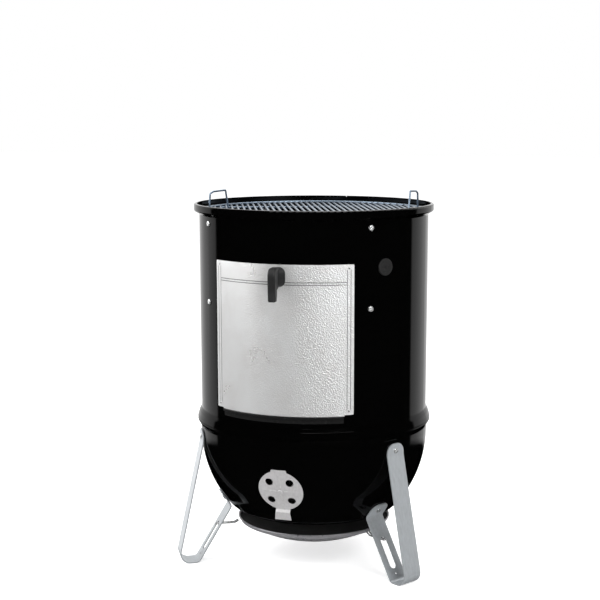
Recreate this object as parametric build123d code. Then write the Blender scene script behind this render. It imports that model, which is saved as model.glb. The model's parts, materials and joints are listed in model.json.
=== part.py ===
from build123d import *
import os
from math import asin, atan2, cos, degrees, hypot, radians, sin, sqrt

# Vertical water smoker without its lid, in millimetres.
# Origin: on the vertical axis of the drum, at floor level. +Z is up and the door faces -Y.
# An azimuth is measured from the door (-Y) towards +X.

os.makedirs("parts", exist_ok=True)

# ---- driving dimensions -------------------------------------------------------------------

DRUM_R = 279.0              # outer radius of the centre section's wall
DRUM_SHEET = 1.5
RIM_R = 292.0               # outer radius of the collar that seats the lid
RIM_TOP = 885.9
BEAD_R = 289.0              # outer radius of the flare over the bowl's rim
BEAD_H = 27.0               # height over which the wall flares out
JOINT_Z = 359.4             # underside of that flare
SKIRT_H = 13.0              # depth of the drum's skirt inside the bowl
GAP = 0.4                   # between pieces that move apart

BOWL_R = 281.0              # the bowl's side is a sphere of this radius
BOWL_CENTRE_Z = 327.3
BOWL_SHEET = 1.6
BOWL_BOTTOM_Z = 100.0
BOWL_BOTTOM_R = 650.0       # radius of curvature of the flatter bottom
BOWL_KNUCKLE_R = 60.0
BOWL_RIM_H = 16.0           # height over which the bowl flares out to the joint

DOOR_HALF_ANGLE = 36.3
DOOR_TONGUE_HALF_ANGLE = 31.8
DOOR_IN_R = 280.2
DOOR_SHEET = 1.2
DOOR_BOTTOM, DOOR_TONGUE_BOTTOM, DOOR_TOP = 417.0, 414.3, 764.6
OPENING_HALF_ANGLE = 33.0
OPENING_BOTTOM, OPENING_TOP = 432.0, 748.0
CREASE_Z, CREASE_HALF_ANGLE = (724.0, 718.5), 32.8
HEM_LINES = (33.0, 34.7)    # azimuths of the pressed lines beside each edge
PRESSED_DEPTH, PRESSED_WIDTH = 0.7, 1.8
DOOR_RIVET_AZIMUTH, DOOR_RIVET_Z = 33.9, (426.0, 756.0)
SILL_H, SILL_DEPTH = 5.0, 4.6
SILL_RIVET_AZIMUTHS, SILL_RIVET_Z = (-24.0, 0.0, 24.0), 403.0
LATCH_Z = 735.0
LEVER_HALF_WIDTH = 9.0
SPINDLE_R = 3.0

LEG_AZIMUTHS = (-60.0, 60.0, 180.0)
LEG_HALF_WIDTH = 27.0
LEG_SHEET = 3.0
LEG_TOP_BOLT_Z = 317.0
LEG_TAB_ELEVATION = -36.5   # where the inner tab touches the bowl's sphere

DAMPER_AZIMUTHS = (0.0, 120.0, 240.0)
DAMPER_ELEVATION = -20.36
DAMPER_R = 54.5
DAMPER_SHEET = 1.2
VENT_R = 9.5
VENT_PITCH_R = 35.3         # distance of each vent from the damper's rivet

STRAP_AZIMUTHS = (45.0, 135.0, 225.0, 315.0)
STRAP_BOLT_Z = (845.0, 660.0)
STRAP_HALF_WIDTH = 12.5
TOP_LEDGE_Z, GRATE_LEDGE_Z, PAN_LEDGE_Z = 866.0, 700.0, 640.0

GRATE_WIRE, ROD_WIRE, ROD_PITCH = 7.0, 5.5, 14.1
GRATE_TURN = 22.2           # azimuth of the cooking grates' rods
BRACE_R = 3.0
TOP_GRATE_R, LOWER_GRATE_R, FUEL_GRATE_R = 273.0, 258.0, 216.0
FUEL_ROD_WIRE, FUEL_ROD_PITCH = 6.0, 20.0
HANDLE_WIRE, HANDLE_HEIGHT, HANDLE_TURN = 4.5, 41.0, 17.3
HANDLE_FEET = (((-254.0, -15.0), (-211.0, 28.0)), ((256.0, 28.0), (230.0, -26.0)))
LOWER_HANDLE_SCALE = 0.93
PAN_BOTTOM_Z, PAN_BOTTOM_R, PAN_TOP_R, PAN_SHEET = 521.0, 186.0, 234.0, 1.2
FUEL_TAB_Z = 182.0
FUEL_RING_R, FUEL_RING_HEIGHT, FUEL_RING_SHEET = 205.0, 176.0, 1.0
FUEL_RING_ROWS, FUEL_RING_HOLES, FUEL_RING_HOLE_R = 3, 20, 10.0

SHIELD_R = 190.8
SHIELD_RIM_Z, SHIELD_BOTTOM_Z = 103.0, 44.0
SHIELD_SHEET = 1.0
CLIP_WIRE, CLIP_Z = 4.0, 91.0

GROMMET_AZIMUTH, GROMMET_Z, GROMMET_R = 53.0, 754.0, 20.0

BOLT_HEAD_R, BOLT_HEAD_H, BOLT_SHANK_R = 6.75, 3.0, 3.0
NUT_ACROSS, NUT_H = 10.0, 5.0

# The plane through the axis and the door's middle: local x is the radius, local y the height.
SIDE = Plane(origin=(0, 0, 0), x_dir=(0, -1, 0), z_dir=(-1, 0, 0))


# ---- shared helpers -----------------------------------------------------------------------


def save(name, shape):
    """Write one node, as a group of its solids."""
    solids = list(shape) if isinstance(shape, (list, tuple)) else [shape]
    flat = [s for shape_ in solids for s in shape_.solids()]
    export_step(flat[0] if len(flat) == 1 else Compound(children=flat), f"parts/{name}.step")


def at_azimuth(shape, azimuth):
    """Turn a shape, or each shape of a list, from the door's side to an azimuth."""
    if isinstance(shape, list):
        return [s.rotate(Axis.Z, azimuth) for s in shape]
    return shape.rotate(Axis.Z, azimuth)


def round_sheet(paths, thickness):
    """Sheet metal turned about the vertical axis, from its mid-line in radius and height."""
    return revolve(Plane.XZ * trace(paths, thickness), Axis.Z, 360)


def side_strip(path, thickness, half_width):
    """A bent strip facing the door, from its mid-line in radius and height."""
    return extrude(SIDE * trace(path, thickness), half_width, both=True)


def curved_sheet(r_in, r_out, z_low, z_high, half_angle):
    """A piece of cylinder wall, centred on the door's azimuth."""
    section = Pos((r_in + r_out) / 2, (z_low + z_high) / 2) * Rectangle(r_out - r_in, z_high - z_low)
    return at_azimuth(revolve(Plane.XZ * section, Axis.Z, 2 * half_angle), -90 - half_angle)


def bowl_plane(elevation, radius):
    """A plane tangent to the bowl's sphere below the door: x to the right, y up along the bowl."""
    c, s = cos(radians(elevation)), sin(radians(elevation))
    return Plane(origin=(0, -radius * c, BOWL_CENTRE_Z + radius * s), x_dir=(1, 0, 0), z_dir=(0, -c, s))


def drum_plane(z, radius):
    return Plane(origin=(0, -radius, z), x_dir=(1, 0, 0), z_dir=(0, -1, 0))


def post(radius, low, high):
    """A round bar along local z."""
    return Pos(0, 0, (low + high) / 2) * Cylinder(radius, high - low)


def bolt(length, slot_turn=40):
    """Truss-head bolt: the head stands on z = 0 and the shank goes down."""
    head = post(BOLT_HEAD_R, 0, BOLT_HEAD_H)
    head = fillet(head.edges().group_by(Axis.Z)[-1], 2.4)
    slot = Pos(0, 0, BOLT_HEAD_H) * Rot(0, 0, slot_turn) * Box(BOLT_HEAD_R * 1.4, 1.3, 2.2)
    return head + post(BOLT_SHANK_R, -length, 0) - slot


def nut():
    """Hex nut with its face on z = 0, below it."""
    blank = extrude(RegularPolygon(NUT_ACROSS / 2, 6, major_radius=False), -NUT_H)
    return blank - post(BOLT_SHANK_R + 0.1, -NUT_H, 0)


def wire_path(points, wire, radius):
    """Round wire bent along the points."""
    path = FilletPolyline(*points, radius=radius)
    return sweep(Plane(origin=path @ 0, z_dir=path % 0) * Circle(wire / 2), path)


# ---- bowl ---------------------------------------------------------------------------------


def bowl():
    """Spherical side, tight knuckle and flatter bottom, with a rolled rim that carries the drum."""
    side_r = BOWL_R - BOWL_SHEET / 2
    bottom_r = BOWL_BOTTOM_R - BOWL_SHEET / 2
    bottom_centre = BOWL_BOTTOM_Z + BOWL_BOTTOM_R
    to_side, to_bottom = side_r - BOWL_KNUCKLE_R, bottom_r - BOWL_KNUCKLE_R
    spread = (to_side**2 - to_bottom**2) / (bottom_centre - BOWL_CENTRE_Z)
    knuckle_z = (spread + BOWL_CENTRE_Z + bottom_centre) / 2
    knuckle_r = sqrt(to_side**2 - (knuckle_z - BOWL_CENTRE_Z) ** 2)
    side_end = degrees(atan2(knuckle_z - BOWL_CENTRE_Z, knuckle_r))
    bottom_end = degrees(atan2(knuckle_z - bottom_centre, knuckle_r))
    rim_mid_r = BEAD_R - BOWL_SHEET / 2
    rim_top = JOINT_Z - GAP - BOWL_SHEET / 2
    wall = Curve() + [
        CenterArc((0, bottom_centre), bottom_r, -90, bottom_end + 90),
        CenterArc((knuckle_r, knuckle_z), BOWL_KNUCKLE_R, bottom_end, side_end - bottom_end),
        CenterArc((0, BOWL_CENTRE_Z), side_r, side_end, -side_end),
    ]
    rim = FilletPolyline(
        (side_r, BOWL_CENTRE_Z),
        (side_r, rim_top - BOWL_RIM_H),
        (rim_mid_r - 3.2, rim_top - BOWL_RIM_H / 2),
        (rim_mid_r, rim_top - 2.5),
        (rim_mid_r, rim_top),
        (side_r + 1.5, rim_top),
        (side_r + 1.5, rim_top - 6),
        radius=[3, 8, 1.5, 1.5, 2],
    )
    shell = round_sheet(wall, BOWL_SHEET) + round_sheet(rim, BOWL_SHEET)
    drills = [d for a in DAMPER_AZIMUTHS for d in at_azimuth(damper_drill(), a)]
    drills += [d for a in LEG_AZIMUTHS for d in at_azimuth(leg_drill(), a)]
    return shell - drills


def vent_places():
    return PolarLocations(VENT_PITCH_R, 4, start_angle=45)


def damper_drill():
    drills = [place * post(VENT_R, -20, 20) for place in vent_places()]
    return [bowl_plane(DAMPER_ELEVATION, BOWL_R) * d for d in drills + [post(2.6, -20, 20)]]


def leg_drill():
    hole = post(BOLT_SHANK_R + 0.2, -8, 8)
    return [drum_plane(LEG_TOP_BOLT_Z, BOWL_R) * hole, bowl_plane(LEG_TAB_ELEVATION, BOWL_R) * hole]


def damper():
    """Disc on the bowl's sphere, with four vents, an upper lug and a joggled push tab."""
    inner = BOWL_R + GAP
    outer = inner + DAMPER_SHEET
    face = bowl_plane(DAMPER_ELEVATION, outer)
    outline = Circle(DAMPER_R) + Pos(0, 50) * RectangleRounded(38, 14, 3)
    outline -= vent_places() * Circle(VENT_R)
    outline -= Circle(2.56)
    ball = Pos(0, 0, BOWL_CENTRE_Z)
    disc = extrude(face * outline, 25, both=True) & (ball * (Sphere(outer) - Sphere(inner)))
    rib = Pos(26, 0) * SlotOverall(34, 5)
    cross = [Rot(0, 0, turn) * rib for turn in (0, 90, 180, 270)]
    raised = ball * (Sphere(outer + 0.7) - Sphere(inner + 0.3))
    for arm in cross:
        disc += extrude(face * arm, 25, both=True) & raised
    sag = outer - sqrt(outer**2 - 47**2)
    tab_path = FilletPolyline(
        (-46, -sag - 0.6), (-53, -sag - 1.7), (-58, 2.0), (-77, 4.5), radius=[1.5, 3.0]
    )
    up = (0, sin(radians(DAMPER_ELEVATION)), cos(radians(DAMPER_ELEVATION)))
    tab_plane = Plane(origin=face.origin, x_dir=up, z_dir=(1, 0, 0))
    tab = extrude(tab_plane * trace(tab_path, DAMPER_SHEET), 21, both=True)
    tab_outline = make_face(Polyline((-17.7, -44), (17.7, -44), (17.7, -57), (20.5, -80), (-20.5, -80),
                                     (-17.7, -57), (-17.7, -44)))
    tab = tab & extrude(face * tab_outline, 25, both=True)
    return disc + tab


def damper_rivet():
    """Rivet that the disc turns on, headed outside and inside."""
    plane = bowl_plane(DAMPER_ELEVATION, BOWL_R)
    top = GAP + DAMPER_SHEET + 0.7 + 0.3
    head = fillet(post(6, top, top + 1.8).edges().group_by(Axis.Z)[-1], 1.5)
    return plane * (head + post(2.5, -3.4, top) + post(5, -3.4, -2.0))


def fuel_tab():
    """Angle on the bowl's inner wall that carries the fuel grate."""
    wall_r = sqrt((BOWL_R - BOWL_SHEET) ** 2 - (FUEL_TAB_Z - BOWL_CENTRE_Z) ** 2)
    path = FilletPolyline(
        (FUEL_GRATE_R - 11, FUEL_TAB_Z - 1), (wall_r - 2.5, FUEL_TAB_Z - 1),
        (wall_r + 9, FUEL_TAB_Z + 15), radius=2)
    tab = side_strip(path, 2, 11)
    return tab & (Pos(0, 0, BOWL_CENTRE_Z) * Sphere(BOWL_R - BOWL_SHEET - 0.05))


# ---- legs ---------------------------------------------------------------------------------


def leg_points():
    """Mid-line corners of a leg, in radius and height, from the top tab round to the inner tab."""
    upright = BOWL_R + 0.3 + LEG_SHEET / 2
    sole = LEG_SHEET / 2
    angle = radians(LEG_TAB_ELEVATION)
    touch = (upright * cos(angle), BOWL_CENTRE_Z + upright * sin(angle))
    along = (-sin(angle), cos(angle))
    tab_half = 22.0
    low = (touch[0] - along[0] * tab_half, touch[1] - along[1] * tab_half)
    high = (touch[0] + along[0] * tab_half, touch[1] + along[1] * tab_half)
    return [(upright, 334.5), (upright, 306.0), (348.3, sole), (298.0, sole), low, high]


def leg():
    """Flat bar bent into an outer arm, a rounded foot, a slotted inner arm and two bolted tabs."""
    points = leg_points()
    path = FilletPolyline(*points, radius=[24, 24, 15, 9])
    bar = side_strip(path, LEG_SHEET, LEG_HALF_WIDTH)
    bar = fillet(bar.edges().filter_by(Axis.Y).group_by(Axis.Z)[-1], 22)
    end = Vector(0, -points[-1][0], points[-1][1])
    corners = [e for e in bar.edges() if abs(e.length - LEG_SHEET) < 0.01 and (e.center() - end).length < 28]
    bar = fillet(corners, 20)
    arm_low, arm_high = points[3], points[4]
    run = hypot(arm_high[0] - arm_low[0], arm_high[1] - arm_low[1])
    along = ((arm_high[0] - arm_low[0]) / run, (arm_high[1] - arm_low[1]) / run)

    def on_arm(distance):
        origin = (0, -arm_low[0] - along[0] * distance, arm_low[1] + along[1] * distance)
        return Plane(origin=origin, x_dir=(0, -along[0], along[1]), z_dir=(0, -along[1], -along[0]))

    slot = extrude(on_arm(69.5) * SlotOverall(80, 20), 8, both=True)
    punched = extrude(on_arm(17) * Circle(2.5), 8, both=True)
    hole = post(BOLT_SHANK_R + 0.2, -3, 8)
    top_hole = drum_plane(LEG_TOP_BOLT_Z, BOWL_R) * hole
    tab_hole = bowl_plane(LEG_TAB_ELEVATION, BOWL_R) * hole
    return bar - slot - punched - top_hole - tab_hole


def leg_bolts():
    seat = BOWL_R + 0.3 + LEG_SHEET
    pair = [drum_plane(LEG_TOP_BOLT_Z, seat) * bolt(14), bowl_plane(LEG_TAB_ELEVATION, seat) * bolt(14, 70)]
    return [s for a in LEG_AZIMUTHS for s in at_azimuth(pair, a)]


def leg_nuts():
    seat = BOWL_R - BOWL_SHEET - 0.7
    pair = [drum_plane(LEG_TOP_BOLT_Z, seat) * nut(), bowl_plane(LEG_TAB_ELEVATION, seat) * nut()]
    return [s for a in LEG_AZIMUTHS for s in at_azimuth(pair, a)]


# ---- heat shield --------------------------------------------------------------------------


def heat_shield():
    """Dished pan with a stepped flange and a rolled lip."""
    dish_edge_r, dish_edge_z = 172.0, 88.0
    depth = dish_edge_z - SHIELD_BOTTOM_Z
    dish_r = (dish_edge_r**2 + depth**2) / (2 * depth)
    sweep_angle = degrees(asin(dish_edge_r / dish_r))
    dish = CenterArc((0, SHIELD_BOTTOM_Z + dish_r), dish_r, -90, sweep_angle)
    lip_r = SHIELD_R - 2.0
    flange = FilletPolyline((dish_edge_r, dish_edge_z), (179, 91.8), (185, 92.2), (lip_r, SHIELD_RIM_Z - 2),
                            radius=[4, 3])
    pan = round_sheet(Curve() + [dish], SHIELD_SHEET) + round_sheet(flange, SHIELD_SHEET)
    return pan + Pos(0, 0, SHIELD_RIM_Z - 2) * Torus(lip_r, 2.0)


def shield_clip():
    """Wire loop from the shield's rim out through the slot of a leg."""
    half, inner, outer = 4.0, SHIELD_R + 3, 252.0
    points = [(-half, -inner, CLIP_Z + 6), (-half, -inner - 10, CLIP_Z), (-half, -outer, CLIP_Z),
              (half, -outer, CLIP_Z), (half, -inner - 10, CLIP_Z), (half, -inner, CLIP_Z + 6)]
    return wire_path(points, CLIP_WIRE, [4, 3.9, 3.9, 4])


# ---- centre section -----------------------------------------------------------------------


def centre_section():
    """Drum with a skirt inside the bowl, a bead over its rim, and a rolled collar for the lid."""
    mid = DRUM_R - DRUM_SHEET / 2
    bead_mid = BEAD_R - DRUM_SHEET / 2
    rim_mid = RIM_R - DRUM_SHEET / 2
    under = JOINT_Z + DRUM_SHEET / 2
    top = RIM_TOP - DRUM_SHEET / 2
    path = FilletPolyline(
        (mid - 1.4, JOINT_Z - SKIRT_H), (mid - 1.4, under), (bead_mid, under), (bead_mid, under + 2.5),
        (bead_mid - 1.9, JOINT_Z + BEAD_H / 3), (bead_mid - 4.4, JOINT_Z + BEAD_H * 0.63),
        (mid, JOINT_Z + BEAD_H), (mid, RIM_TOP - 24), (rim_mid, RIM_TOP - 16), (rim_mid, top),
        (rim_mid - 7, top),
        radius=[1.5, 1.2, 6, 12, 8, 6, 5, 4, 3],
    )
    shell = round_sheet(path, DRUM_SHEET)
    seam = curved_sheet(DRUM_R - 0.5, DRUM_R + 0.5, JOINT_Z + BEAD_H + 3, RIM_TOP - 26, 0.8)
    seam = at_azimuth(seam, 180)
    opening = curved_sheet(DRUM_R - 12, DRUM_R + 12, OPENING_BOTTOM, OPENING_TOP, OPENING_HALF_ANGLE)
    notch = at_azimuth(Pos(0, -RIM_R, RIM_TOP) * Box(3, 20, 6), 180)
    bolt_hole = [drum_plane(z, DRUM_R) * post(BOLT_SHANK_R + 0.2, -6, 6) for z in STRAP_BOLT_Z]
    holes = [s for a in STRAP_AZIMUTHS for s in at_azimuth(bolt_hole, a)]
    probe_hole = at_azimuth(drum_plane(GROMMET_Z, DRUM_R) * post(GROMMET_R - 5, -8, 8), GROMMET_AZIMUTH)
    return shell + seam - opening - notch - holes - probe_hole - sill_drills()


def grate_strap():
    """Strip bolted to the drum's wall, with a ledge for each grate and for the water pan."""
    back = DRUM_R - DRUM_SHEET - 0.4
    mid = back - 1
    ends = FilletPolyline(
        (262, TOP_LEDGE_Z - 1), (mid, TOP_LEDGE_Z - 1), (mid, PAN_LEDGE_Z - 1), (237, PAN_LEDGE_Z - 1),
        radius=3)
    middle = FilletPolyline(
        (246, GRATE_LEDGE_Z - 1), (mid - 1.9, GRATE_LEDGE_Z - 1), (mid - 1.9, GRATE_LEDGE_Z - 26), radius=3)
    strip = side_strip(ends, 2, STRAP_HALF_WIDTH)
    shelf = side_strip(middle, 2, STRAP_HALF_WIDTH)
    holes = [drum_plane(z, back) * post(BOLT_SHANK_R + 0.2, -8, 8) for z in STRAP_BOLT_Z]
    return strip + shelf - holes


def strap_bolts():
    pair = [drum_plane(z, DRUM_R + 0.1) * bolt(13, turn) for z, turn in zip(STRAP_BOLT_Z, (50, 20))]
    return [s for a in STRAP_AZIMUTHS for s in at_azimuth(pair, a)]


def strap_nuts():
    seat = DRUM_R - DRUM_SHEET - 2.5
    pair = [drum_plane(z, seat) * nut() for z in STRAP_BOLT_Z]
    return [s for a in STRAP_AZIMUTHS for s in at_azimuth(pair, a)]


def grommet():
    """Round rubber bush with a cross slit for probe leads."""
    plane = drum_plane(GROMMET_Z, DRUM_R)
    flange = fillet(post(GROMMET_R, 0.2, 3.6).edges().group_by(Axis.Z)[-1], 1.6)
    dish = Pos(0, 0, 3.8) * Cylinder(GROMMET_R - 8, 1.8)
    body = flange + post(GROMMET_R - 5.2, -3, 1) + post(GROMMET_R - 2, -6, -2.6) - dish
    for turn in (0, 90):
        body -= Rot(0, 0, turn) * Box(16, 0.8, 24)
    return at_azimuth(plane * body, GROMMET_AZIMUTH)


def sill_drills():
    drill = drum_plane(SILL_RIVET_Z, DRUM_R) * post(1.7, -5, 5)
    return [at_azimuth(drill, a) for a in SILL_RIVET_AZIMUTHS]


def door_sill():
    """Narrow lip on a riveted flange under the opening, on which the door stands."""
    top = DOOR_TONGUE_BOTTOM - 0.8
    back = DRUM_R + 0.1
    lip = curved_sheet(back, back + SILL_DEPTH, top - SILL_H, top, DOOR_TONGUE_HALF_ANGLE - 0.3)
    edges = [e for e in lip.edges().filter_by(GeomType.CIRCLE) if e.radius > back + 1]
    lip = fillet(edges, 1.2)
    flange = curved_sheet(back, back + 0.9, top - 16, top - 1, DOOR_TONGUE_HALF_ANGLE - 0.3)
    return lip + flange - sill_drills()


def sill_rivets():
    plane = drum_plane(SILL_RIVET_Z, DRUM_R)
    head = fillet(post(3.0, 1.05, 2.1).edges().group_by(Axis.Z)[-1], 0.9)
    rivet = plane * (head + post(1.6, -2.8, 1.05) + post(3, -2.8, -1.6))
    return [at_azimuth(rivet, a) for a in SILL_RIVET_AZIMUTHS]


# ---- door and latch -----------------------------------------------------------------------

def rivet_places():
    return [(side * DOOR_RIVET_AZIMUTH, z) for side in (-1, 1) for z in DOOR_RIVET_Z]


def door_panel():
    """Curved sheet with a tongue below, a pressed double crease and pressed lines beside each edge."""
    outer = DOOR_IN_R + DOOR_SHEET
    panel = curved_sheet(DOOR_IN_R, outer, DOOR_BOTTOM, DOOR_TOP, DOOR_HALF_ANGLE)
    corners = [e for e in panel.edges() if abs(e.length - DOOR_SHEET) < 0.01]
    panel = fillet(corners, 2.5)
    panel += curved_sheet(DOOR_IN_R, outer, DOOR_TONGUE_BOTTOM, DOOR_BOTTOM + 4, DOOR_TONGUE_HALF_ANGLE)
    floor_r, half = outer - PRESSED_DEPTH, PRESSED_WIDTH / 2
    for crease_z in CREASE_Z:
        panel -= curved_sheet(floor_r, outer + 1, crease_z - half, crease_z + half, CREASE_HALF_ANGLE)
    line = curved_sheet(floor_r + 0.2, outer + 1, DOOR_BOTTOM + 12, DOOR_TOP - 12, 0.16)
    for azimuth in HEM_LINES:
        panel = panel - at_azimuth(line, azimuth) - at_azimuth(line, -azimuth)
    panel -= drum_plane(LATCH_Z, DRUM_R) * post(SPINDLE_R + 0.06, -10, 10)
    for azimuth, z in rivet_places():
        panel -= at_azimuth(drum_plane(z, DRUM_R) * post(1.3, -5, 8), azimuth)
    return panel


def door_rivets():
    """Small flush rivets whose tails hold the panel off the drum."""
    head = fillet(post(2.6, 2.4, 3.3).edges().group_by(Axis.Z)[-1], 0.7)
    rivet = head + post(1.25, 0.6, 2.4) + post(2.2, 0.6, 1.15)
    return [at_azimuth(drum_plane(z, DRUM_R) * rivet, a) for a, z in rivet_places()]


def latch_lever():
    """Moulded lever: a flared hub on the door, turned down into a finger bar."""
    back = DOOR_IN_R + DOOR_SHEET + 1.0
    outline = Polyline(
        (296, 759.5), (325, 759.5), (321.5, 683), (305.5, 683), (303.5, 711), (296, 714), close=True)
    profile = make_face(outline)
    profile = fillet(profile.vertices().sort_by(Axis.Y)[:2], 4)
    profile = fillet(profile.vertices().sort_by_distance((325, 759.5, 0))[0], 17)
    bar = extrude(SIDE * profile, LEVER_HALF_WIDTH, both=True)
    rims = [e for e in bar.edges() if e.center().Y < -309 and abs(abs(e.center().X) - LEVER_HALF_WIDTH) < 0.1]
    bar = fillet(rims, 4)
    sections = ((back, 40, 45, 14), (back + 4, 35, 43.5, 13), (back + 10, 28, 42, 11), (back + 19, 18, 40, 7))
    rings = [
        drum_plane(LATCH_Z + 1.5, r) * RectangleRounded(w, h, corner) for r, w, h, corner in sections]
    hub = loft(rings)
    return bar + hub - drum_plane(LATCH_Z, back) * post(SPINDLE_R, -1, 12)


def latch_spindle():
    back = DOOR_IN_R + DOOR_SHEET + 1.0
    return drum_plane(LATCH_Z, back) * post(SPINDLE_R, -16, 12)


def latch_pawl():
    """Short cam plate behind the door, inside the height of the opening."""
    plane = drum_plane(LATCH_Z, 274.0)
    outline = Pos(0, 1) * RectangleRounded(14, 20, 5) - Circle(SPINDLE_R + 0.1)
    return extrude(plane * outline, 2.5)


def latch_nut():
    return drum_plane(LATCH_Z, 273.7) * nut()


# ---- grates, pan and fuel ring ------------------------------------------------------------


def rod_grate(outer_r, top_z, pitch, rod_wire, ring_wire, brace_offset):
    """Ring with parallel rods across it and two braces under them; rods run towards the door."""
    ring_r = outer_r - ring_wire / 2
    mid_z = top_z - ring_wire / 2
    rods = []
    count = int((outer_r - ring_wire * 1.5) / pitch)
    for i in range(-count, count + 1):
        half = sqrt(ring_r**2 - (i * pitch) ** 2)
        rods.append(Pos(i * pitch, 0, mid_z) * Rot(90, 0, 0) * Cylinder(rod_wire / 2, 2 * half))
    half = sqrt(ring_r**2 - brace_offset**2)
    brace_z = mid_z - rod_wire / 2 - 2.2
    for side in (-1, 1):
        rods.append(Pos(0, side * brace_offset, brace_z) * Rot(0, 90, 0) * Cylinder(BRACE_R, 2 * half))
    ring = Pos(0, 0, mid_z) * Torus(ring_r, ring_wire / 2)
    return ring.fuse(*rods)


def grate_handles(base_z, scale):
    """Two wire loops standing on the rods near the ring."""
    loops = []
    for start, end in HANDLE_FEET:
        (ax, ay), (bx, by) = [(x * scale, y * scale) for x, y in (start, end)]
        lean_x, lean_y = (bx - ax) * 0.13, (by - ay) * 0.13
        top = base_z + HANDLE_HEIGHT
        points = [(ax, ay, base_z), (ax + lean_x * 0.4, ay + lean_y * 0.4, top - 5),
                  (ax + lean_x * 1.7, ay + lean_y * 1.7, top), (bx - lean_x, by - lean_y, top + 2),
                  (bx, by, base_z)]
        loops.append(at_azimuth(wire_path(points, HANDLE_WIRE, [4, 3, 3]), HANDLE_TURN))
    return loops


def water_pan():
    """Deep pan with sloping wall and a flanged rim that hangs on the straps."""
    flange_z = PAN_LEDGE_Z + GAP + 0.6
    lip_r = PAN_TOP_R + 9
    path = FilletPolyline(
        (0, PAN_BOTTOM_Z), (PAN_BOTTOM_R, PAN_BOTTOM_Z), (PAN_TOP_R, flange_z), (lip_r, flange_z),
        (lip_r, flange_z + 5), radius=[28, 3, 1.5])
    return round_sheet(path, PAN_SHEET)


def fuel_ring():
    """Perforated ring that holds the fuel together."""
    bottom = FUEL_TAB_Z + GAP + GRATE_WIRE + GAP
    core = Cylinder(FUEL_RING_R - FUEL_RING_SHEET, FUEL_RING_HEIGHT + 2)
    tube = Pos(0, 0, bottom + FUEL_RING_HEIGHT / 2) * (Cylinder(FUEL_RING_R, FUEL_RING_HEIGHT) - core)
    step = 360 / FUEL_RING_HOLES
    for row in range(FUEL_RING_ROWS):
        z = bottom + FUEL_RING_HEIGHT * (row + 1) / (FUEL_RING_ROWS + 1)
        drill = Pos(0, 0, z) * Rot(90, 0, 0) * Cylinder(FUEL_RING_HOLE_R, 2 * FUEL_RING_R + 10)
        shift = step / 2 * (row % 2)
        tube = tube - [at_azimuth(drill, shift + i * step) for i in range(FUEL_RING_HOLES // 2)]
    return tube


# ---- write every node ---------------------------------------------------------------------

save("bowl", bowl())
base_leg = leg()
for leg_name, azimuth in zip(("leg_left", "leg_right", "leg_rear"), LEG_AZIMUTHS):
    save(leg_name, at_azimuth(base_leg, azimuth))
save("leg_bolts", leg_bolts())
save("leg_nuts", leg_nuts())
save("heat_shield", heat_shield())
save("shield_clips", [at_azimuth(shield_clip(), a) for a in LEG_AZIMUTHS])
save("fuel_grate_tabs", [at_azimuth(fuel_tab(), a) for a in (30, 150, 270)])
base_damper = damper()
for damper_name, azimuth in zip(("damper_front", "damper_right", "damper_left"), DAMPER_AZIMUTHS):
    save(damper_name, at_azimuth(base_damper, azimuth))
save("damper_rivets", [at_azimuth(damper_rivet(), a) for a in DAMPER_AZIMUTHS])

save("centre_section", centre_section())
for index, azimuth in enumerate(STRAP_AZIMUTHS, 1):
    save(f"grate_strap_{index}", at_azimuth(grate_strap(), azimuth))
save("strap_bolts", strap_bolts())
save("strap_nuts", strap_nuts())
save("probe_grommet", grommet())
save("door_sill", door_sill())
save("sill_rivets", sill_rivets())

save("door_panel", door_panel())
save("door_rivets", door_rivets())
save("latch_lever", latch_lever())
save("latch_spindle", latch_spindle())
save("latch_pawl", latch_pawl())
save("latch_nut", latch_nut())

top_grate_z = TOP_LEDGE_Z + GAP + GRATE_WIRE
lower_grate_z = GRATE_LEDGE_Z + GAP + GRATE_WIRE
fuel_grate_z = FUEL_TAB_Z + GAP + GRATE_WIRE
upper_grate = rod_grate(TOP_GRATE_R, top_grate_z, ROD_PITCH, ROD_WIRE, GRATE_WIRE, 140)
lower_grate = rod_grate(LOWER_GRATE_R, lower_grate_z, ROD_PITCH, ROD_WIRE, GRATE_WIRE, 140)
fuel_grate = rod_grate(FUEL_GRATE_R, fuel_grate_z, FUEL_ROD_PITCH, FUEL_ROD_WIRE, GRATE_WIRE, 105)
save("upper_grate", at_azimuth(upper_grate, GRATE_TURN))
save("upper_grate_handles", grate_handles(top_grate_z - 1.5, 1.0))
save("lower_grate", at_azimuth(lower_grate, GRATE_TURN))
save("lower_grate_handles", grate_handles(lower_grate_z - 1.5, LOWER_HANDLE_SCALE))
save("water_pan", water_pan())
save("fuel_ring", fuel_ring())
save("fuel_grate", at_azimuth(fuel_grate, GRATE_TURN))
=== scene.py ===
import json
import math

import bpy
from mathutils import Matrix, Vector

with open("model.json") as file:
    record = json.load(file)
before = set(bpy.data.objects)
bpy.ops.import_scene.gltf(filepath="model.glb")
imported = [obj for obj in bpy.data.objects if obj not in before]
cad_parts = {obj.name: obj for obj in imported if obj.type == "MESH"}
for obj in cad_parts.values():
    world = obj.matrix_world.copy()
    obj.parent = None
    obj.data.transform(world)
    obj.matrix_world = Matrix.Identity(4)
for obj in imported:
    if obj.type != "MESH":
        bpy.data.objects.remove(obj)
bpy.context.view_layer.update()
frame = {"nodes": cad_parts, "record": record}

# The door sheet: metres from the drum's axis to its face, and to where a pressed line gets painted shade.
DOOR_FACE_R = 0.2814
LINE_EDGE_R = DOOR_FACE_R - 0.00032
LINE_FLOOR_R = DOOR_FACE_R - 0.00045
DOOR_WORN_X, DOOR_CRISP_X = -0.10, 0.06     # the pebble pattern fades between these, in metres

SHIELD_SHADE_TOP, SHIELD_LIP = 0.095, 0.099  # heights in metres: the painted shade inside the dish ends between them
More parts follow.
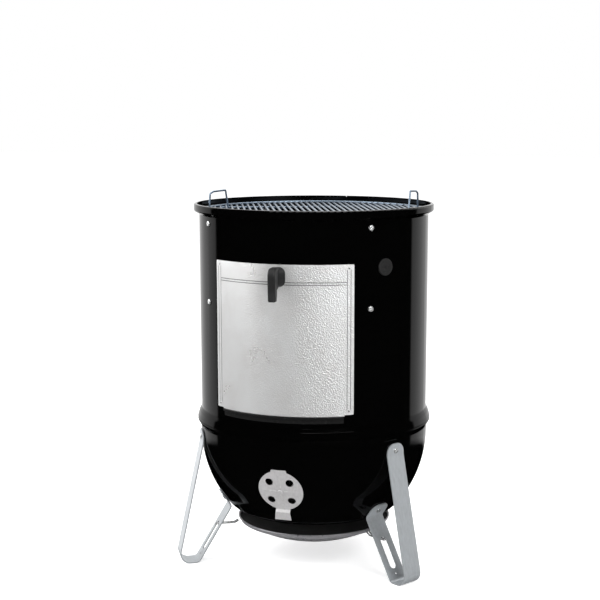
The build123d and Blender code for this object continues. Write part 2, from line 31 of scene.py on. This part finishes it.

# Camera: degrees from the door towards +X, metres, and millimetres of lens on the sensor.
CAMERA_AZIMUTH = 17.3
CAMERA_DISTANCE, CAMERA_HEIGHT, CAMERA_PITCH = 3.2576, 1.103, 9.74
LENS, SENSOR = 79.9, 36.0
SHIFT_X, SHIFT_Y = -0.0231, 0.068

# The studio's bright walls, seen only in reflections: they start at this angle from the camera's
# side, above the floor line, and each edge is this soft.
WALL_ANGLE, WALL_SOFTNESS = 114, 0.02
WALL_BOTTOM, WALL_FULL = -0.285, -0.255
WALL_GLOW, AMBIENT_GLOW, BACKDROP_GLOW = 1.0, 0.75, 1.0
LAMP_TARGET_Z = 0.6


# ---- node helpers -------------------------------------------------------------------------


class Finish:
    """A Principled material whose inputs come from procedural nodes in the object's own coordinates."""

    def __init__(self, name, **values):
        self.material = bpy.data.materials.new(name)
        self.material.use_nodes = True
        self.tree = self.material.node_tree
        self.shader = self.tree.nodes["Principled BSDF"]
        for key, value in values.items():
            self.shader.inputs[key.replace("_", " ")].default_value = value
        self.place = self.tree.nodes.new("ShaderNodeTexCoord").outputs["Object"]

    def node(self, kind, **links):
        made = self.tree.nodes.new(kind)
        for key, value in links.items():
            self.set(made.inputs[key.replace("_", " ")], value)
        return made

    def set(self, socket, value):
        if isinstance(value, bpy.types.NodeSocket):
            self.tree.links.new(value, socket)
        else:
            socket.default_value = value

    def stretched(self, scale):
        mapping = self.node("ShaderNodeMapping", Vector=self.place)
        mapping.inputs["Scale"].default_value = scale
        return mapping.outputs["Vector"]

    def split(self, vector):
        """X, Y and Z of a vector, as outputs."""
        return self.node("ShaderNodeSeparateXYZ", Vector=vector).outputs

    def noise(self, scale, detail=3.0, rough=0.5, warp=0.0, place=None):
        made = self.node("ShaderNodeTexNoise", Vector=place or self.place, Scale=scale, Detail=detail,
                         Roughness=rough, Distortion=warp)
        return made.outputs["Fac"]

    def cells(self, scale, smooth):
        made = self.node("ShaderNodeTexVoronoi", Vector=self.place, Scale=scale)
        made.feature = "SMOOTH_F1"
        made.inputs["Smoothness"].default_value = smooth
        return made.outputs["Distance"]

    def spread(self, value, low, high, from_low=0.3, from_high=0.7):
        """Maps a 0..1 pattern to low..high."""
        made = self.node("ShaderNodeMapRange", Value=value, From_Min=from_low, From_Max=from_high,
                         To_Min=low, To_Max=high)
        return made.outputs["Result"]

    def blend(self, factor, first, second):
        made = self.tree.nodes.new("ShaderNodeMix")
        made.data_type = "RGBA"
        self.set(made.inputs["Factor"], factor)
        self.set(made.inputs[6], first)
        self.set(made.inputs[7], second)
        return made.outputs[2]

    def maths(self, operation, first, second):
        made = self.tree.nodes.new("ShaderNodeMath")
        made.operation = operation
        self.set(made.inputs[0], first)
        self.set(made.inputs[1], second)
        return made.outputs[0]

    def bump(self, height, depth, under=None):
        made = self.node("ShaderNodeBump", Height=height, Strength=1.0, Distance=depth)
        if under is not None:
            self.set(made.inputs["Normal"], under)
        return made.outputs["Normal"]

    def finish(self, colour=None, roughness=None, normal=None):
        for key, value in (("Base Color", colour), ("Roughness", roughness), ("Normal", normal)):
            if value is not None:
                self.set(self.shader.inputs[key], value)
        return self.material


def grey(value, tint=(1.0, 1.0, 1.0)):
    return (value * tint[0], value * tint[1], value * tint[2], 1.0)


# ---- materials ----------------------------------------------------------------------------


def black_enamel():
    """Porcelain enamel: black gloss with orange peel, faint hand marks and a little dust."""
    f = Finish("black_enamel", Specular_IOR_Level=0.10, IOR=1.5)
    smears = f.noise(7.0, 4.0, 0.6, warp=0.8)
    dust = f.spread(f.noise(900.0, 1.0), 0.0, 1.0, 0.66, 0.8)
    colour = f.blend(dust, grey(0.0007), grey(0.006, (1.0, 1.0, 1.05)))
    roughness = f.maths("ADD", f.spread(smears, 0.04, 0.085), f.maths("MULTIPLY", dust, 0.05))
    peel = f.bump(f.noise(260.0, 2.0), 0.00003)
    return f.finish(colour, roughness, peel)


def door_aluminium():
    """Pebble-embossed aluminium sheet, worn smoother towards its left side, with painted shade in its
    pressed lines.
    """
    f = Finish("door_aluminium", Metallic=0.68, Specular_IOR_Level=0.5)
    cloud = f.noise(14.0, 4.0, 0.6, warp=0.6)
    marks = f.noise(34.0, 2.0, 0.5)
    pebble = f.cells(340.0, 0.7)
    fine = f.noise(620.0, 2.0, 0.5)
    # Painted shade: the deeper part of each pressed line is coloured dark grey, standing in for the shadow
    # in the crease.
    radius = f.node("ShaderNodeVectorMath", Vector=f.stretched((1.0, 1.0, 0.0)))
    radius.operation = "LENGTH"
    painted_crease_shade = f.spread(radius.outputs["Value"], 1.0, 0.0, LINE_FLOOR_R, LINE_EDGE_R)
    colour = f.blend(f.spread(cloud, 0.0, 1.0), grey(0.74, (1.0, 0.992, 0.985)),
                     grey(0.80, (0.99, 1.0, 1.0)))
    colour = f.blend(f.spread(marks, 0.0, 0.06), colour, grey(0.6, (1.0, 0.98, 0.95)))
    # Painted crease shade blended over the sheet colour.
    colour = f.blend(painted_crease_shade, colour, grey(0.16, (1.0, 0.98, 0.96)))
    roughness = f.spread(cloud, 0.27, 0.31)
    height = f.maths("ADD", pebble, f.spread(fine, 0.0, 0.3))
    crispness = f.spread(f.split(f.place)["X"], 0.08, 0.95, DOOR_WORN_X, DOOR_CRISP_X)
    normal = f.bump(f.maths("MULTIPLY", height, crispness), 0.0011)
    return f.finish(colour, roughness, normal)


def satin_aluminium(name, tone, rough, along, tint):
    """Rolled aluminium: grain stretched along the strip, blotches and small scuffs."""
    f = Finish(name, Metallic=0.6)
    grain = f.noise(240.0, 5.0, 0.65, place=f.stretched(along))
    blotch = f.noise(26.0, 5.0, 0.65, warp=0.4)
    scuff = f.spread(f.noise(150.0, 3.0, 0.7, warp=1.5), 0.0, 1.0, 0.62, 0.72)
    colour = f.blend(f.spread(grain, 0.0, 1.0), grey(tone * 0.88, tint), grey(tone * 1.06, tint))
    colour = f.blend(f.spread(blotch, 0.0, 0.25), colour, grey(tone * 0.72, tint))
    colour = f.blend(f.maths("MULTIPLY", scuff, 0.25), colour, grey(tone * 1.2, tint))
    roughness = f.maths("ADD", f.spread(blotch, rough - 0.06, rough + 0.08),
                        f.maths("MULTIPLY", scuff, 0.08))
    normal = f.bump(grain, 0.00006, f.bump(blotch, 0.00025))
    return f.finish(colour, roughness, normal)


def shield():
    """Rolled aluminium dish: bright outside, with painted shade on its inner face that is near-black and
    dull, standing in for the shadow under the bowl.
    """
    metallic = 0.6
    f = Finish("shield_aluminium", Specular_IOR_Level=0.12)
    rolled = f.noise(200.0, 5.0, 0.65, place=f.stretched((0.5, 0.5, 1.0)))
    cloud = f.noise(24.0, 5.0, 0.65, warp=0.5)
    tint = (1.0, 0.985, 1.03)
    metal = f.blend(f.spread(rolled, 0.0, 1.0), grey(0.29, tint), grey(0.37, tint))
    metal = f.blend(f.spread(cloud, 0.0, 0.4), metal, grey(0.28, tint))
    # Painted shade: upward faces below the lip, inside the dish under the bowl, are coloured near-black
    # and made less metallic and rougher.
    facing = f.split(f.node("ShaderNodeNewGeometry").outputs["Normal"])
    upward = f.spread(facing["Z"], 0.0, 1.0, 0.1, 0.4)
    below_lip = f.spread(f.split(f.place)["Z"], 1.0, 0.0, SHIELD_SHADE_TOP, SHIELD_LIP)
    painted_dish_shade = f.maths("MULTIPLY", upward, below_lip)
    painted_shade_colour = f.blend(f.spread(cloud, 0.0, 1.0), grey(0.002), grey(0.007, (1.0, 0.96, 0.9)))
    colour = f.blend(painted_dish_shade, metal, painted_shade_colour)
    f.set(f.shader.inputs["Metallic"], f.maths("SUBTRACT", metallic, f.maths("MULTIPLY", painted_dish_shade, metallic)))
    roughness = f.maths("ADD", f.spread(cloud, 0.24, 0.36), f.maths("MULTIPLY", painted_dish_shade, 0.3))
    return f.finish(colour, roughness, f.bump(rolled, 0.00004))


def zinc():
    """Bright zinc plate with a cloudy bloom and pitted edges."""
    f = Finish("zinc_fasteners", Metallic=0.85)
    bloom = f.noise(320.0, 4.0, 0.6)
    pits = f.noise(1400.0, 2.0)
    colour = f.blend(f.spread(bloom, 0.0, 1.0), grey(0.60, (0.97, 1.0, 1.03)),
                     grey(0.86, (1.0, 1.0, 0.98)))
    roughness = f.spread(bloom, 0.16, 0.34)
    return f.finish(colour, roughness, f.bump(pits, 0.00005))


def nylon():
    """Glass-filled nylon: charcoal, moulded grain and worn sheen on the grip."""
    f = Finish("black_nylon", Specular_IOR_Level=0.3)
    grain = f.noise(1100.0, 2.0, 0.6)
    wear = f.noise(55.0, 3.0, 0.6)
    colour = f.blend(f.spread(wear, 0.0, 1.0), grey(0.009, (1.0, 1.0, 1.03)),
                     grey(0.016, (1.0, 1.0, 1.02)))
    return f.finish(colour, f.spread(wear, 0.30, 0.46), f.bump(grain, 0.00006))


def rubber():
    """Moulded rubber, dull with dust."""
    f = Finish("black_rubber", Specular_IOR_Level=0.35)
    dust = f.noise(300.0, 4.0, 0.7)
    colour = f.blend(f.spread(dust, 0.0, 1.0, 0.45, 0.8), grey(0.006), grey(0.018, (1.0, 0.99, 0.97)))
    return f.finish(colour, f.spread(dust, 0.5, 0.72), f.bump(f.noise(800.0, 2.0), 0.00006))


def black_steel():
    """Painted steel strip, worn grey in places."""
    f = Finish("black_steel", Specular_IOR_Level=0.12)
    worn = f.noise(220.0, 4.0, 0.7)
    colour = f.blend(f.spread(worn, 0.0, 1.0, 0.6, 0.75), grey(0.006), grey(0.03))
    return f.finish(colour, f.spread(worn, 0.32, 0.5), f.bump(worn, 0.00008))


def wire_steel(name, tone, rough, tint):
    """Plated wire with drawn lines, heat tint and slight roughness changes."""
    f = Finish(name, Metallic=0.9)
    drawn = f.noise(700.0, 3.0, 0.6)
    stain = f.noise(38.0, 4.0, 0.6)
    colour = f.blend(f.spread(stain, 0.0, 1.0), grey(tone, tint), grey(tone * 0.78, tint))
    roughness = f.spread(drawn, rough - 0.05, rough + 0.08)
    return f.finish(colour, roughness, f.bump(drawn, 0.00004))


def plain_steel(name, tone, rough):
    """Rolled steel with mill scale patches and fine scratches."""
    f = Finish(name, Metallic=0.75)
    scale = f.noise(45.0, 6.0, 0.7, warp=0.8)
    lines = f.noise(400.0, 4.0, 0.6, place=f.stretched((1.0, 1.0, 9.0)))
    colour = f.blend(f.spread(scale, 0.0, 1.0), grey(tone), grey(tone * 0.6, (1.0, 0.97, 0.94)))
    return f.finish(colour, f.spread(scale, rough, rough + 0.18), f.bump(lines, 0.00008))


FINISHES = {
    "black_enamel": black_enamel(),
    "door_aluminium": door_aluminium(),
    "leg_aluminium": satin_aluminium(
        "leg_aluminium", 0.56, 0.34, (1.0, 1.0, 0.06), (0.95, 1.0, 1.04)),
    "damper_aluminium": satin_aluminium(
        "damper_aluminium", 0.66, 0.42, (1.0, 1.0, 0.5), (1.0, 0.985, 0.99)),
    "shield_aluminium": shield(),
    "zinc_fasteners": zinc(),
    "black_nylon": nylon(),
    "black_rubber": rubber(),
    "black_steel": black_steel(),
    "grate_steel": wire_steel("grate_steel", 0.28, 0.26, (0.76, 0.96, 1.2)),
    "fuel_steel": plain_steel("fuel_steel", 0.36, 0.42),
    "strap_steel": plain_steel("strap_steel", 0.5, 0.36),
}


SLOTS = {part["node"]: part["material_slot"] for part in frame["record"]["subparts"]}


def finish_cad_nodes():
    for name, obj in frame["nodes"].items():
        if not obj.material_slots:
            obj.data.materials.append(None)
        for slot in obj.material_slots:
            slot.material = FINISHES[SLOTS[name]]


finish_cad_nodes()


# ---- floor, light and camera --------------------------------------------------------------


def floor():
    """Plain white floor, partly lit from within so that shadows stay pale, and absent in reflections."""
    bpy.ops.mesh.primitive_plane_add(size=60.0, location=(0, 0, 0))
    plane = bpy.context.object
    plane.name = "floor"
    plane.visible_glossy = False
    f = Finish("floor_white", Specular_IOR_Level=0.0, Roughness=1.0, Emission_Strength=0.46)
    f.shader.inputs["Emission Color"].default_value = (1.0, 1.0, 1.0, 1.0)
    tone = f.noise(2.0, 2.0)
    plane.data.materials.append(f.finish(f.blend(f.spread(tone, 0.0, 1.0), grey(0.88), grey(0.9))))


def camera_side(azimuth):
    """Horizontal direction at an azimuth from the camera's own, as x and y."""
    angle = math.radians(CAMERA_AZIMUTH + azimuth)
    return math.sin(angle), -math.cos(angle)


def soft_light(name, azimuth, elevation, distance, size, power):
    """Rectangular soft box that faces the middle of the drum."""
    data = bpy.data.lights.new(name, "AREA")
    data.shape = "RECTANGLE"
    data.size, data.size_y = size
    data.energy = power
    lamp = bpy.data.objects.new(name, data)
    x, y = camera_side(azimuth)
    flat = distance * math.cos(math.radians(elevation))
    away = Vector((x * flat, y * flat, distance * math.sin(math.radians(elevation))))
    lamp.location = away + Vector((0, 0, LAMP_TARGET_Z))
    lamp.rotation_euler = away.to_track_quat("Z", "Y").to_euler()
    bpy.context.scene.collection.objects.link(lamp)
    return lamp


def keep_off_enamel(lamps):
    """Flags the key lights' broad glare off the black gloss. The walls still shine in it."""
    dark = bpy.data.collections.new("enamel_without_key_light")
    for name, slot in SLOTS.items():
        if slot == "black_enamel":
            dark.objects.link(frame["nodes"][name])
    for item in dark.collection_objects:
        item.light_linking.link_state = "EXCLUDE"
    for lamp in lamps:
        lamp.light_linking.receiver_collection = dark


def studio():
    """White sweep behind the object. In reflections, a dark room with bright walls at the back."""
    world = bpy.data.worlds.new("studio")
    bpy.context.scene.world = world
    world.use_nodes = True
    nodes, links = world.node_tree.nodes, world.node_tree.links

    def made(kind, **settings):
        node = nodes.new(kind)
        for key, value in settings.items():
            setattr(node, key, value)
        return node

    def ramp(value, start, end, top):
        node = made("ShaderNodeMapRange")
        links.new(value, node.inputs["Value"])
        for key, number in (("From Min", start), ("From Max", end), ("To Min", 0.0), ("To Max", top)):
            node.inputs[key].default_value = number
        return node.outputs["Result"]

    def choose(factor, first, second):
        node = made("ShaderNodeMix")
        for socket, value in zip(node.inputs[:1] + node.inputs[2:4], (factor, first, second)):
            if isinstance(value, bpy.types.NodeSocket):
                links.new(value, socket)
            else:
                socket.default_value = value
        return node.outputs[0]

    direction = made("ShaderNodeTexCoord").outputs["Generated"]
    forward = made("ShaderNodeVectorMath", operation="DOT_PRODUCT")
    links.new(direction, forward.inputs[0])
    forward.inputs[1].default_value = (*camera_side(0), 0.0)
    edge = math.cos(math.radians(WALL_ANGLE))
    walls = ramp(forward.outputs["Value"], edge + WALL_SOFTNESS, edge - WALL_SOFTNESS, WALL_GLOW)
    split = made("ShaderNodeSeparateXYZ")
    links.new(direction, split.inputs[0])
    above = ramp(split.outputs["Z"], WALL_BOTTOM, WALL_FULL, 1.0)
    seen = made("ShaderNodeMath", operation="MULTIPLY")
    links.new(walls, seen.inputs[0])
    links.new(above, seen.inputs[1])

    path = made("ShaderNodeLightPath").outputs
    indirect = choose(path["Is Glossy Ray"], AMBIENT_GLOW, seen.outputs[0])
    background = nodes["Background"]
    background.inputs["Color"].default_value = (1.0, 1.0, 1.0, 1.0)
    links.new(choose(path["Is Camera Ray"], indirect, BACKDROP_GLOW), background.inputs["Strength"])


def camera():
    data = bpy.data.cameras.new("camera")
    data.lens, data.sensor_width = LENS, SENSOR
    data.shift_x, data.shift_y = SHIFT_X, SHIFT_Y
    eye = bpy.data.objects.new("camera", data)
    x, y = camera_side(0)
    eye.location = (x * CAMERA_DISTANCE, y * CAMERA_DISTANCE, CAMERA_HEIGHT)
    eye.rotation_euler = (math.radians(90 - CAMERA_PITCH), 0.0, math.radians(CAMERA_AZIMUTH))
    bpy.context.scene.collection.objects.link(eye)
    bpy.context.scene.camera = eye


floor()
studio()
keep_off_enamel([
    soft_light("key_left", -88, 26, 3.4, (3.8, 3.2), 142),
    soft_light("key_right", 38, 28, 3.6, (3.0, 2.4), 92),
])
soft_light("back_top", 170, 75, 2.8, (2.4, 2.4), 50)
soft_light("edge_front", 15, 34, 3.0, (2.6, 0.25), 10)
camera()
bpy.context.scene.view_settings.view_transform = "Standard"
